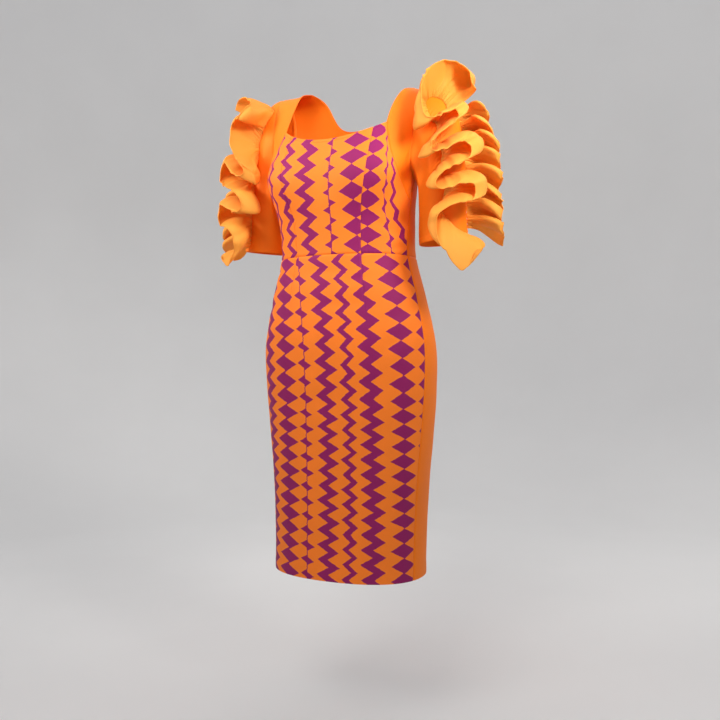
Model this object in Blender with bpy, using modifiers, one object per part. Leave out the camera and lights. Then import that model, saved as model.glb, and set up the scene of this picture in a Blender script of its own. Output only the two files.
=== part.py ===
"""Bodycon midi dress: printed front, plain back, yokes and half sleeves, and a gathered ruffle down each sleeve.

Metres, +Z up. The front faces -Y and the wearer's left is +X. The origin lies between the two shoulder seams, at
the height of the left one's neck end, where the wearer holds the dress up.
"""

import math

import bpy
import numpy as np

# Cloth
WALL = 0.0016
RUFFLE_WALL = 0.0015
RUFFLE_LIFT = 0.0007
SEAM_GAP = 0.0003
ARMHOLE_GAP = 0.0008

# Heights of the main seams, and the points where they turn, on the wearer's left
HEM = -0.996
WAIST = -0.352
SHOULDER_SLOPE = 0.36
SHOULDER_TOP = (0.130, 0.000)
SHOULDER_TIP = (0.182, -0.0187)
NECK_SIDE = (0.1215, -0.045)
NECK_CORNER = (0.112, -0.096)
NECK_DIP = (0.000, -0.122)
BACK_NECK = (0.000, -0.055)
BACK_NECK_BEND = (0.0806, -0.0451)
UNDERARM = -0.200
YOKE_END = -0.246

# The figure under the cloth, a ring for each row, from the hem up to the ridge of the shoulders.
# follow is how far a ring sinks with the slope of the shoulders.
RING_COLUMNS = ("height", "half_width", "front", "back", "centre", "follow")
RINGS = (
    (-1.060, 0.159, 0.112, 0.110, 0.004, 0.0),
    (-0.996, 0.160, 0.112, 0.112, 0.005, 0.0),
    (-0.900, 0.161, 0.112, 0.118, 0.006, 0.0),
    (-0.800, 0.166, 0.113, 0.126, 0.007, 0.0),
    (-0.710, 0.174, 0.116, 0.132, 0.007, 0.0),
    (-0.620, 0.181, 0.120, 0.132, 0.006, 0.0),
    (-0.530, 0.182, 0.122, 0.122, 0.003, 0.0),
    (-0.440, 0.165, 0.113, 0.104, 0.000, 0.0),
    (-0.352, 0.143, 0.100, 0.096, -0.003, 0.0),
    (-0.290, 0.143, 0.099, 0.094, -0.008, 0.0),
    (-0.240, 0.146, 0.100, 0.096, -0.013, 0.0),
    (-0.190, 0.150, 0.098, 0.103, -0.012, 0.0),
    (-0.145, 0.156, 0.091, 0.106, -0.007, 0.1),
    (-0.100, 0.172, 0.087, 0.098, 0.002, 0.3),
    (-0.055, 0.192, 0.073, 0.076, 0.014, 0.7),
    (-0.018, 0.206, 0.049, 0.044, 0.029, 1.0),
    (0.000, 0.212, 0.000, 0.000, 0.035, 1.0),
)
ROUNDNESS = 2.3

# Bust cups, a rounded swelling either side of the centre front
CUP = {"angle": 39.0, "spread": 20.0, "height": -0.192, "above": 0.052, "below": 0.040, "depth": 0.029}

# Angle of the side seam from the centre front, in degrees, by height
SIDE_SEAM = ((HEM, 75.0), (-0.620, 77.0), (WAIST, 80.0), (YOKE_END, 86.0), (UNDERARM, 90.0))

# Princess seam, as distance from the centre front
PRINCESS_WAIST = 0.072
PRINCESS_TOP = 0.089

# Curves between the seam points above, as (x, z) on the wearer's left
YOKE_SEAM = (NECK_CORNER, (0.1125, -0.135), (0.1165, -0.168), (0.1270, -0.198), (0.1400, -0.224))
FRONT_ARMHOLE = (SHOULDER_TIP, (0.1690, -0.052), (0.1590, -0.092), (0.1530, -0.132), (0.1470, -0.170))
BACK_ARMHOLE = (SHOULDER_TIP, (0.1720, -0.052), (0.1640, -0.092), (0.1570, -0.132), (0.1485, -0.170))

# Sleeve, on the wearer's left
CUFF_CENTRE = (0.2050, 0.0130, -0.3250)
CUFF_RADIUS = (0.0490, 0.0520)
ARM_AXIS = (0.108, 0.040, -0.993)
CAP_DIP = (20.0, 52.0)
CAP_REACH = (0.080, 0.040)
CUFF_REACH = (0.120, 0.045)

# The wearer's right shoulder hangs higher, and nearer the neck, than the left. Its neck point and its tip rise by
# the lifts and the neck point moves in by the shift, over these heights and distances from the centre.
LIFT_HEIGHTS = (-0.150, -0.010)
NECK_LIFT = 0.018
NECK_SHIFT = 0.024
NECK_SPAN = (0.030, 0.130)
TIP_LIFT = 0.020
TIP_SPAN = (0.130, 0.200)

# Ruffles: gathered strips sewn on by one edge, which stand off the sleeve and wave to and fro.
# A row for each turn of the wave. down is 0 at the armhole and 1 at the cuff; the angles go round the sleeve from
# its outer line towards its front, at the belly of the wave and at the sewn edge; reach is the width that stands
# off the sleeve; fullness is how far the loops swell over each other; sag lowers the free edge; steps is how
# finely the strip is divided up to the next row.
WAVE_COLUMNS = ("down", "turn", "seam_turn", "reach", "fullness", "sag", "steps")
LEFT_FRONT_WAVES = (
    (0.250, 7.0, 28.0, 0.066, 0.0, -0.004, 3),
    (0.120, -3.0, 22.0, 0.068, 0.0, -0.008, 3),
    (0.030, 24.0, 30.0, 0.066, 0.0, -0.004, 3),
    (0.030, 66.0, 45.0, 0.062, 0.0, -0.004, 3),
    (0.100, 90.0, 54.0, 0.066, 0.0, 0.004, 3),
    (0.190, 84.0, 60.0, 0.070, 0.2, 0.018, 5),
    (0.260, 20.0, 62.0, 0.068, 0.8, 0.030, 7),
    (0.350, 94.0, 64.0, 0.076, 1.2, 0.026, 7),
    (0.460, 14.0, 66.0, 0.070, 1.2, 0.036, 7),
    (0.570, 88.0, 66.0, 0.070, 1.2, 0.032, 7),
    (0.680, 12.0, 66.0, 0.070, 1.2, 0.038, 7),
    (0.790, 86.0, 66.0, 0.068, 1.0, 0.036, 6),
    (0.900, 50.0, 64.0, 0.074, 0.2, 0.102, 4),
    (0.985, 20.0, 58.0, 0.064, 0.0, 0.040, 0),
)
RIGHT_FRONT_WAVES = (
    (0.240, 18.0, 18.0, 0.066, 0.0, 0.004, 3),
    (0.160, 20.0, 20.0, 0.074, 0.0, 0.020, 3),
    (0.070, 40.0, 34.0, 0.070, 0.0, 0.030, 3),
    (0.030, 64.0, 48.0, 0.062, 0.0, 0.020, 4),
    (0.130, 66.0, 58.0, 0.066, 0.0, 0.012, 4),
    (0.220, 44.0, 64.0, 0.070, 0.6, 0.016, 6),
    (0.310, 118.0, 70.0, 0.072, 1.8, 0.016, 7),
    (0.430, 40.0, 72.0, 0.072, 1.9, 0.022, 7),
    (0.560, 114.0, 72.0, 0.070, 1.8, 0.024, 7),
    (0.690, 42.0, 72.0, 0.070, 1.6, 0.028, 7),
    (0.820, 92.0, 72.0, 0.064, 1.0, 0.032, 6),
    (0.950, 76.0, 70.0, 0.062, 0.2, 0.048, 4),
    (0.975, 50.0, 66.0, 0.060, 0.0, 0.024, 0),
)
OUTER_WAVES = 8
OUTER_SPAN = (0.180, 0.940)
LEFT_OUTER_TURN = -16.0
RIGHT_OUTER_TURN = -6.0
OUTER_SWING = 17.0
OUTER_REACH = 0.074
OUTER_FULLNESS = 1.6
OUTER_SAG = 0.030
OUTER_STEPS = 4

# Shape of a strip across its width, from the sewn edge to the free edge: how far off the sleeve it is, how much
# of the wave there is, and how much of its fullness
ACROSS_COLUMNS = ("share", "wave", "swell")
ACROSS = (
    (0.00, 0.10, 0.0),
    (0.22, 0.42, 0.5),
    (0.50, 0.90, 0.9),
    (0.78, 1.00, 1.0),
    (0.95, 0.84, 1.0),
    (1.00, 0.54, 0.9),
)

# How finely the panels are divided
CENTRE_STEPS = 8
NECK_SIDE_STEPS = 1
YOKE_SEAM_STEPS = 6
NECK_EDGE_STEPS = 4
YOKE_ACROSS = 3
BACK_ARMHOLE_STEPS = 10
SHOULDER_STEPS = 3
BACK_NECK_STEPS = 3
BODICE_ROWS = 9
SKIRT_ROWS = 15
SLEEVE_ROWS = 10
ARMHOLE_SAMPLES = 400

# Steps over which the direction of a surface is taken
RING_STEP = 0.01
ANGLE_STEP = 0.5
TURN_STEP = 4.0
DOWN_STEP = 0.02

COLOURS = {
    "print": ((0.83, 0.33, 0.09, 1.0), 0.55),
    "plain": ((0.87, 0.24, 0.02, 1.0), 0.55),
    "organza": ((0.95, 0.40, 0.08, 1.0), 0.65),
}


# Figure

def through(rows, at):
    """Values of a table at the fractional row numbers, on a smooth curve through its rows."""
    rows = np.asarray(rows, float)
    at = np.clip(np.asarray(at, float), 0, len(rows) - 1)
    low = np.minimum(at.astype(int), len(rows) - 2)
    t = (at - low)[..., None]
    padded = np.vstack([2 * rows[0] - rows[1], rows, 2 * rows[-1] - rows[-2]])
    before, start, end, after = (padded[low + k] for k in range(4))
    return start + t * (
        (end - before) / 2
        + t * (before - 2.5 * start + 2 * end - after / 2 + t * (1.5 * (start - end) + (after - before) / 2))
    )


def signed_power(value, power):
    return np.sign(value) * np.abs(value) ** power


def ring_sizes(ring):
    """Sizes of the figure at fractional ring numbers, by the names of their columns."""
    return dict(zip(RING_COLUMNS, np.moveaxis(through(RINGS, ring), -1, 0)))


def figure(spots):
    """Points of the trunk, at spots of (angle, ring): angle in degrees from the centre front towards the wearer's
    left, ring a row number."""
    angle = spots[..., 0]
    size = ring_sizes(spots[..., 1])
    turn = np.radians(angle)
    x = size["half_width"] * signed_power(np.sin(turn), 2 / ROUNDNESS)
    ahead = signed_power(np.cos(turn), 2 / ROUNDNESS)
    y = size["centre"] - np.where(ahead > 0, size["front"], size["back"]) * ahead
    z = size["height"] - size["follow"] * SHOULDER_SLOPE * (np.abs(x) - SHOULDER_TOP[0])
    rise = z - CUP["height"]
    tall = np.where(rise > 0, CUP["above"], CUP["below"])
    aside = (np.abs(np.mod(angle + 180, 360) - 180) - CUP["angle"]) / CUP["spread"]
    push = CUP["depth"] * np.exp(-(aside**2 + (rise / tall) ** 2) / 2)
    away = np.hypot(x, y) + 1e-9
    return np.stack([x * (1 + push / away), y * (1 + push / away), z], -1)


def figure_normal(spots):
    """Outward unit normal of the trunk, and of both sides of the ridge of the shoulders together."""
    ridge = len(RINGS) - 1
    below = np.stack([spots[..., 0], np.minimum(spots[..., 1], ridge - 2 * RING_STEP)], -1)
    along = figure(below + [0, RING_STEP]) - figure(below - [0, RING_STEP])
    across = figure(below + [ANGLE_STEP, 0]) - figure(below - [ANGLE_STEP, 0])
    side = np.sign(np.sin(np.radians(spots[..., 0])))
    top = np.stack([SHOULDER_SLOPE * side, np.zeros_like(side), np.ones_like(side)], -1)
    on_ridge = spots[..., 1] > ridge - 0.1 * RING_STEP
    normal = np.where(on_ridge[..., None], top, np.cross(across, along))
    return normal / np.linalg.norm(normal, axis=-1, keepdims=True)


RING_SEARCH = np.linspace(0, len(RINGS) - 1, 3000)


def ring_at(z, x=0.0):
    """The ring number whose surface is at height z, at the distance x from the centre."""
    size = ring_sizes(RING_SEARCH)
    heights = size["height"] - size["follow"] * SHOULDER_SLOPE * (abs(x) - SHOULDER_TOP[0])
    return float(np.interp(z, heights, RING_SEARCH))


def spot(x, z, back=False):
    """(angle, ring) of the point of the front, or of the back, that is seen at (x, z)."""
    ring = ring_at(z, x)
    half_width = ring_sizes(ring)["half_width"]
    angle = math.degrees(math.asin(min(1.0, abs(x) / half_width) ** (ROUNDNESS / 2)))
    return np.array([180 - angle if back else angle, ring])


def side_spot(z):
    """(angle, ring) of the side seam at height z."""
    heights, angles = zip(*SIDE_SEAM)
    return np.array([np.interp(z, heights, angles), ring_at(z)])


def evenly(points, steps):
    """steps + 1 points, evenly spaced along the smooth curve through the given (angle, ring) points."""
    dense = through(points, np.linspace(0, len(points) - 1, 40 * len(points)))
    length = np.concatenate([[0], np.cumsum(np.linalg.norm(np.diff(figure(dense), axis=0), axis=1))])
    at = np.linspace(0, length[-1], steps + 1)
    return np.stack([np.interp(at, length, dense[:, k]) for k in range(2)], -1)


# Seams, as rows of (angle, ring) on the wearer's left

UNDERARM_SPOT = side_spot(UNDERARM)
YOKE_END_SPOT = side_spot(YOKE_END)


def waist_front():
    """From the centre front to the side seam."""
    centre_half = CENTRE_STEPS // 2
    ring = ring_at(WAIST)
    seam = spot(PRINCESS_WAIST, WAIST)[0]
    side = side_spot(WAIST)[0]
    inner = np.linspace(0, seam, centre_half + 1)
    outer = np.linspace(seam, side, NECK_SIDE_STEPS + YOKE_SEAM_STEPS + 1)[1:]
    return np.stack([np.concatenate([inner, outer]), np.full(len(inner) + len(outer), ring)], -1)


def neckline_height(x):
    """Height of the neckline's lower edge at the distance x from the centre front."""
    share = abs(x) / NECK_CORNER[0]
    return NECK_DIP[1] + (NECK_CORNER[1] - NECK_DIP[1]) * share**2


def top_front():
    """Upper edge of the printed front, from the centre front to the side seam."""
    to_seam = np.linspace(0, PRINCESS_TOP, CENTRE_STEPS // 2 + 1)
    to_corner = np.linspace(PRINCESS_TOP, NECK_CORNER[0], NECK_SIDE_STEPS + 1)[1:]
    neck = [spot(x, neckline_height(x)) for x in np.concatenate([to_seam, to_corner])]
    return np.vstack([neck, yoke_seam()[1:]])


def yoke_seam():
    return evenly([spot(x, z) for x, z in YOKE_SEAM] + [YOKE_END_SPOT], YOKE_SEAM_STEPS)


def neck_edge():
    """Side of the neckline, from the shoulder to the corner."""
    return evenly([spot(*SHOULDER_TOP), spot(*NECK_SIDE), spot(*NECK_CORNER)], NECK_EDGE_STEPS)


def armhole(table, back, steps):
    """From the tip of the shoulder to the underarm."""
    return evenly([spot(x, z, back) for x, z in table] + [UNDERARM_SPOT], steps)


def back_neck():
    """From the shoulder to the centre back."""
    points = [spot(*SHOULDER_TOP, back=True), spot(*BACK_NECK_BEND, back=True), spot(*BACK_NECK, back=True)]
    return evenly(points, BACK_NECK_STEPS)


def shoulder_seam(back):
    """From the tip of the shoulder to the neck."""
    at = np.linspace(SHOULDER_TIP[0], SHOULDER_TOP[0], SHOULDER_STEPS + 1)
    slope = [-SHOULDER_SLOPE * (x - SHOULDER_TOP[0]) for x in at]
    return np.array([spot(x, z, back) for x, z in zip(at, slope)])


# Sleeve

def armhole_loop():
    """The outer face of the cloth round the left armhole, from the underarm by the back and the shoulder to the
    front, in even steps."""
    back = armhole(BACK_ARMHOLE, True, ARMHOLE_SAMPLES)[::-1]
    front = armhole(FRONT_ARMHOLE, False, ARMHOLE_SAMPLES)[1:]
    loop = np.vstack([back, front])
    return figure(loop) + WALL * figure_normal(loop)


ARMHOLE_LOOP = armhole_loop()
ARMHOLE_ANGLES = np.linspace(-180, 180, len(ARMHOLE_LOOP))


def sleeve(turn, down):
    """A point of the left sleeve: turn in degrees from its outer line towards its front, down from 0 at the
    armhole to 1 at the cuff."""
    turn, down = np.broadcast_arrays(np.asarray(turn, float), np.asarray(down, float))
    wrapped = np.mod(turn + 180, 360) - 180
    start = np.stack([np.interp(wrapped, ARMHOLE_ANGLES, ARMHOLE_LOOP[:, k]) for k in range(3)], -1)
    radians = np.radians(turn)[..., None]
    axis = np.array(ARM_AXIS) / np.linalg.norm(ARM_AXIS)
    outward = np.array([-axis[2], 0.0, axis[0]])
    outward = outward / np.linalg.norm(outward)
    forward = np.cross(axis, outward)
    end = np.array(CUFF_CENTRE) + CUFF_RADIUS[0] * np.cos(radians) * outward
    end = end + CUFF_RADIUS[1] * np.sin(radians) * forward
    inner = (1 - np.cos(radians)) / 2
    dip = np.radians(CAP_DIP[0] + (CAP_DIP[1] - CAP_DIP[0]) * inner)
    leave = np.concatenate([np.cos(dip), 0 * dip, -np.sin(dip)], -1)
    above = start + leave * (CAP_REACH[0] + (CAP_REACH[1] - CAP_REACH[0]) * inner)
    below = end - axis * (CUFF_REACH[0] + (CUFF_REACH[1] - CUFF_REACH[0]) * inner)
    t = down[..., None]
    return (1 - t) ** 3 * start + 3 * t * (1 - t) ** 2 * above + 3 * t**2 * (1 - t) * below + t**3 * end


def sleeve_normal(turn, down):
    """Outward unit normal of the left sleeve."""
    across = sleeve(turn + TURN_STEP, down) - sleeve(turn - TURN_STEP, down)
    along = sleeve(turn, down + DOWN_STEP) - sleeve(turn, np.maximum(down - DOWN_STEP, 0.0))
    normal = np.cross(across, along)
    return normal / np.linalg.norm(normal, axis=-1, keepdims=True)


# Panels, as grids of points: rows run up or down the cloth and columns across it

def between(lower, upper, rows):
    """A grid of (angle, ring), with straight columns from the lower seam to the upper one."""
    share = np.linspace(0, 1, rows + 1)[:, None, None]
    return lower[None] * (1 - share) + upper[None] * share


def inset(grid, edges="sewt", gap=SEAM_GAP / 2):
    """Moves the named edges of a grid inwards, so that neighbours stay apart: s first row, t last row,
    e first column, w last column."""
    moved = grid.copy()
    along = np.gradient(grid, axis=0)
    across = np.gradient(grid, axis=1)
    normal = np.cross(across, along)
    normal /= np.linalg.norm(normal, axis=-1, keepdims=True)
    for edge in edges:
        cut = {"s": np.s_[0, :], "t": np.s_[-1, :], "e": np.s_[:, 0], "w": np.s_[:, -1]}[edge]
        rim = across[cut] if edge in "st" else along[cut]
        towards = along[cut] if edge == "s" else -along[cut] if edge == "t" else across[cut]
        towards = -towards if edge == "w" else towards
        step = np.cross(normal[cut], rim)
        step /= np.linalg.norm(step, axis=-1, keepdims=True)
        step *= np.sign(np.sum(step * towards, -1, keepdims=True))
        moved[cut] += gap * step
    return moved


def skirt_grid(lower_angles, upper_angles):
    """A skirt panel, whose columns run from the hem to the waist."""
    heights = np.linspace(HEM, WAIST, SKIRT_ROWS + 1)
    rings = np.array([ring_at(z) for z in heights])
    sides = np.array([side_spot(z)[0] for z in heights])
    low, high = side_spot(HEM)[0], side_spot(WAIST)[0]
    share = ((sides - low) / (high - low))[:, None]
    angles = lower_angles * (1 - share) + upper_angles * share
    return figure(np.stack([angles, np.broadcast_to(rings[:, None], angles.shape)], -1))


def mirrored(columns):
    """Both halves of a row of (angle, ring) that starts at the centre front, from the right side to the left."""
    return np.vstack([columns[:0:-1] * [-1, 1], columns])


def front_waist_angles():
    return mirrored(waist_front())[:, 0]


def back_waist_angles():
    side = side_spot(WAIST)[0]
    return np.linspace(side, 360 - side, 2 * (BACK_ARMHOLE_STEPS + SHOULDER_STEPS + BACK_NECK_STEPS) + 1)


def skirt_front():
    upper = front_waist_angles()
    return inset(skirt_grid(upper * side_spot(HEM)[0] / side_spot(WAIST)[0], upper), "ewt")


def skirt_back():
    upper = back_waist_angles()
    side = side_spot(HEM)[0]
    lower = np.interp(upper, [upper[0], upper[-1]], [side, 360 - side])
    return inset(skirt_grid(lower, upper), "ewt")


def bodice_front_centre():
    half = CENTRE_STEPS // 2 + 1
    grid = between(mirrored(waist_front()[:half]), mirrored(top_front()[:half]), BODICE_ROWS)
    return inset(figure(grid), "sew")


def bodice_front_side():
    start = CENTRE_STEPS // 2
    return inset(figure(between(waist_front()[start:], top_front()[start:], BODICE_ROWS)))


def side_column():
    """Side seam from the waist to the end of the yoke, then on to the underarm."""
    share = np.linspace(0, 1, BODICE_ROWS + 1)[:, None]
    lower = waist_front()[-1] * (1 - share) + YOKE_END_SPOT * share
    share = np.linspace(0, 1, YOKE_ACROSS + 1)[1:, None]
    return np.vstack([lower, YOKE_END_SPOT * (1 - share) + UNDERARM_SPOT * share])


def bodice_back():
    """Back of the bodice, up to the armholes, the shoulder seams and the neckline."""
    left = np.vstack([
        armhole(BACK_ARMHOLE, True, BACK_ARMHOLE_STEPS)[::-1],
        shoulder_seam(True)[1:],
        back_neck()[1:],
    ])
    top = np.vstack([left, (left[-2::-1] * [-1, 1]) + [360, 0]])
    angles = back_waist_angles()
    bottom = np.stack([angles, np.full(len(angles), ring_at(WAIST))], -1)
    grid = between(bottom, top, BODICE_ROWS + YOKE_ACROSS)
    left_seam = side_column()
    right_seam = left_seam * [-1, 1] + [360, 0]
    left_gap = (left_seam - grid[:, 0])[:, None, :]
    right_gap = (right_seam - grid[:, -1])[:, None, :]
    reach = np.abs(np.linspace(-1, 1, grid.shape[1]))[None, :, None] ** 3
    half = grid.shape[1] // 2
    grid[:, :half] += left_gap * reach[:, :half]
    grid[:, half:] += right_gap * reach[:, half:]
    return inset(figure(grid))


def yoke_front():
    """Front yoke, in rows from the shoulder seam down to the side seam under the arm."""
    inner = np.vstack([neck_edge(), yoke_seam()[1:]])
    outer = armhole(FRONT_ARMHOLE, False, NECK_EDGE_STEPS + YOKE_SEAM_STEPS)
    share = np.linspace(0, 1, YOKE_ACROSS + 1)[None, :, None]
    grid = inner[:, None] * (1 - share) + outer[:, None] * share
    return inset(figure(grid)[::-1])


def sleeve_grid():
    """Sleeve tube in rows from the armhole to the cuff; its last column meets its first."""
    front = np.linspace(0, 180, NECK_EDGE_STEPS + YOKE_SEAM_STEPS + 1)
    back = np.linspace(-180, 0, BACK_ARMHOLE_STEPS + 1)[:-1]
    turns = np.concatenate([back, front])[:-1]
    downs = np.linspace(0, 1, SLEEVE_ROWS + 1)
    turn, down = np.meshgrid(turns, downs)
    grid = sleeve(turn, down)
    step = grid[1] - grid[0]
    grid[0] += ARMHOLE_GAP * step / np.linalg.norm(step, axis=-1, keepdims=True)
    return grid


def outer_waves(seam_turn):
    """Rows of the strip down the outer line of the sleeve, sewn at the given turn."""
    turns = 2 * OUTER_WAVES + 1
    rows = []
    for number in range(turns):
        share = number / (turns - 1)
        down = OUTER_SPAN[0] + (OUTER_SPAN[1] - OUTER_SPAN[0]) * share
        uneven = math.sin(2.4 * number + 1.0)
        swing = OUTER_SWING * (1 + 0.2 * uneven) * (1 if number % 2 else -1)
        reach = OUTER_REACH * (1 - 0.12 * (1 - share) ** 4 - 0.06 * share + 0.04 * math.sin(1.7 * number))
        sag = OUTER_SAG * (1 + 0.3 * uneven)
        rows.append((down, seam_turn + swing, seam_turn, reach, OUTER_FULLNESS, sag, OUTER_STEPS))
    return rows


def ruffle_grid(waves):
    """A gathered strip on the left sleeve, in rows that follow its wave downwards; its columns run from the sewn
    edge to the free edge."""
    steps = [row[WAVE_COLUMNS.index("steps")] for row in waves[:-1]]
    at = np.concatenate([number + np.arange(count) / count for number, count in enumerate(steps)] + [[len(steps)]])
    row = np.minimum(at.astype(int), len(steps) - 1)
    table = dict(zip(WAVE_COLUMNS, through(waves, at).T[..., None]))
    across = dict(zip(ACROSS_COLUMNS, np.array(ACROSS).T[:, None, :]))
    travel = np.diff([row[0] for row in waves])[row][:, None]
    over = np.sin(2 * math.pi * (at - row))[:, None] / (2 * math.pi)
    down = table["down"] + travel * table["fullness"] * across["swell"] * over
    turn = table["seam_turn"] + (table["turn"] - table["seam_turn"]) * across["wave"]
    off = RUFFLE_LIFT + table["reach"] * across["share"]
    grid = sleeve(turn, down) + sleeve_normal(turn, down) * off[..., None]
    grid[..., 2] -= table["sag"] * across["share"] ** 2
    return grid


def ramp(value, start, end):
    """0 before start, 1 after end, and a smooth climb between them."""
    share = np.clip((value - start) / (end - start), 0, 1)
    return share**2 * (3 - 2 * share)


def lifted(points):
    """The points as they hang, with the wearer's right shoulder higher and nearer the neck."""
    outward = -points[..., 0]
    high = ramp(points[..., 2], *LIFT_HEIGHTS)
    near = ramp(outward, *NECK_SPAN)
    far = ramp(outward, *TIP_SPAN)
    moved = points.copy()
    moved[..., 2] += high * (NECK_LIFT * near + TIP_LIFT * far)
    moved[..., 0] += high * NECK_SHIFT * near * (1 - far)
    return moved


# Objects

def material(name):
    made = bpy.data.materials.get(name) or bpy.data.materials.new(name)
    made.use_nodes = True
    shader = made.node_tree.nodes["Principled BSDF"]
    colour, roughness = COLOURS[name]
    shader.inputs["Base Color"].default_value = colour
    shader.inputs["Roughness"].default_value = roughness
    shader.inputs["Metallic"].default_value = 0.0
    return made


def cloth(name, grid, finish, closed=False, wall=WALL, grow=1.0):
    """A panel through the grid, which a Solidify modifier gives its thickness: grow is 1 outwards and -1 inwards."""
    grid = lifted(grid)
    rows, columns = grid.shape[:2]
    number = np.arange(rows * columns).reshape(rows, columns)
    if closed:
        number = np.hstack([number, number[:, :1]])
    corners = np.stack([number[:-1, :-1], number[:-1, 1:], number[1:, 1:], number[1:, :-1]], -1).reshape(-1, 4)
    mesh = bpy.data.meshes.new(name)
    mesh.from_pydata(grid.reshape(-1, 3).tolist(), [], corners.tolist())
    mesh.shade_smooth()
    mesh.materials.append(material(finish))
    made = bpy.data.objects.new(name, mesh)
    bpy.data.collections["bodycon_dress"].objects.link(made)
    solid = made.modifiers.new("thickness", "SOLIDIFY")
    solid.thickness = wall
    solid.offset = grow
    return made


def on_the_right(grid):
    """The same grid mirrored to the wearer's right, with its columns turned round to keep its faces outward."""
    return grid[:, ::-1] * [-1, 1, 1]


def main():
    for old in list(bpy.data.objects):
        bpy.data.objects.remove(old)
    collection = bpy.data.collections.new("bodycon_dress")
    bpy.context.scene.collection.children.link(collection)
    cloth("skirt_front", skirt_front(), "print")
    cloth("skirt_back", skirt_back(), "plain")
    cloth("bodice_front_centre", bodice_front_centre(), "print")
    cloth("bodice_front_left", bodice_front_side(), "print")
    cloth("bodice_front_right", on_the_right(bodice_front_side()), "print")
    cloth("bodice_back", bodice_back(), "plain")
    cloth("yoke_front_left", yoke_front(), "plain")
    cloth("yoke_front_right", on_the_right(yoke_front()), "plain")
    cloth("sleeve_left", sleeve_grid(), "plain", closed=True, grow=-1.0)
    cloth("sleeve_right", on_the_right(sleeve_grid()), "plain", closed=True, grow=-1.0)
    strips = {
        "ruffle_front_left": ruffle_grid(LEFT_FRONT_WAVES),
        "ruffle_front_right": on_the_right(ruffle_grid(RIGHT_FRONT_WAVES)),
        "ruffle_outer_left": ruffle_grid(outer_waves(LEFT_OUTER_TURN)),
        "ruffle_outer_right": on_the_right(ruffle_grid(outer_waves(RIGHT_OUTER_TURN))),
    }
    for name, strip in strips.items():
        cloth(name, strip, "organza", wall=RUFFLE_WALL, grow=0.0)


main()
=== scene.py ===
import math

import bpy
import numpy as np
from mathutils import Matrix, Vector


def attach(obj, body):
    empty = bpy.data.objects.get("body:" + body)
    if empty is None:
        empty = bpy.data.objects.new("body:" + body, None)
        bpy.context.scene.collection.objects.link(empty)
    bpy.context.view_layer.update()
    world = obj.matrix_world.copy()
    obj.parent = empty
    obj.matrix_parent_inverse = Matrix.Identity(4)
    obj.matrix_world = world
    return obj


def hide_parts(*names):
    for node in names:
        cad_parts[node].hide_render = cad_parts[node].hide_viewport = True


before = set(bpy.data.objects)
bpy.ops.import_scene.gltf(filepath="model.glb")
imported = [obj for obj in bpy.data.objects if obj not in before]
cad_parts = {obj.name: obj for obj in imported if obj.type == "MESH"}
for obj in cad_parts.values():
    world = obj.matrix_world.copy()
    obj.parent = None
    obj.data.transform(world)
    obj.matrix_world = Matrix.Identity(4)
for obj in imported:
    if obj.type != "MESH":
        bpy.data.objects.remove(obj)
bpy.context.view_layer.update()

# The figure, the seams, the sleeves and the waves of the ruffles repeat those of part.py, in metres: the front
# faces -Y, the wearer's left is +X, and the origin lies between the shoulder seams.
WALL = 0.0016
KNIT_WALL = 0.0011
ORGANZA_WALL = 0.0006
HEM = -0.996
WAIST = -0.352
SHOULDER_SLOPE = 0.36
SHOULDER_TOP = (0.13, 0)
SHOULDER_TIP = (0.182, -0.0187)
NECK_SIDE = (0.1215, -0.045)
NECK_CORNER = (0.112, -0.096)
NECK_DIP = (0, -0.122)
BACK_NECK = (0, -0.055)
BACK_NECK_BEND = (0.0806, -0.0451)
UNDERARM = -0.200
YOKE_END = -0.246
# height, half width, front, back, centre, and how far the ring sinks with the slope of the shoulders
RINGS = (
    (-1.06, 0.159, 0.112, 0.11, 0.004, 0), (-0.996, 0.16, 0.112, 0.112, 0.005, 0),
    (-0.9, 0.161, 0.112, 0.118, 0.006, 0), (-0.8, 0.166, 0.113, 0.126, 0.007, 0),
    (-0.71, 0.174, 0.116, 0.132, 0.007, 0), (-0.62, 0.181, 0.12, 0.132, 0.006, 0),
    (-0.53, 0.182, 0.122, 0.122, 0.003, 0), (-0.44, 0.165, 0.113, 0.104, 0, 0),
    (-0.352, 0.143, 0.1, 0.096, -0.003, 0), (-0.29, 0.143, 0.099, 0.094, -0.008, 0),
    (-0.24, 0.146, 0.1, 0.096, -0.013, 0), (-0.19, 0.15, 0.098, 0.103, -0.012, 0),
    (-0.145, 0.156, 0.091, 0.106, -0.007, 0.1), (-0.1, 0.172, 0.087, 0.098, 0.002, 0.3),
    (-0.055, 0.192, 0.073, 0.076, 0.014, 0.7), (-0.018, 0.206, 0.049, 0.044, 0.029, 1),
    (0, 0.212, 0, 0, 0.035, 1),
)
ROUNDNESS = 2.3
CUP = {"angle": 39, "spread": 20, "height": -0.192, "above": 0.052, "below": 0.04, "depth": 0.029}
SIDE_SEAM = ((HEM, 75), (-0.62, 77), (WAIST, 80), (YOKE_END, 86), (UNDERARM, 90))
PRINCESS_WAIST = 0.072
PRINCESS_TOP = 0.089
YOKE_SEAM = (NECK_CORNER, (0.1125, -0.135), (0.1165, -0.168), (0.127, -0.198), (0.14, -0.224))
FRONT_ARMHOLE = (SHOULDER_TIP, (0.169, -0.052), (0.159, -0.092), (0.153, -0.132), (0.147, -0.17))
BACK_ARMHOLE = (SHOULDER_TIP, (0.172, -0.052), (0.164, -0.092), (0.157, -0.132), (0.1485, -0.17))
CUFF_CENTRE = (0.205, 0.013, -0.325)
CUFF_RADIUS = (0.049, 0.052)
ARM_AXIS = (0.108, 0.04, -0.993)
CAP_DIP = (20, 52)
CAP_REACH = (0.08, 0.04)
CUFF_REACH = (0.12, 0.045)
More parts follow.
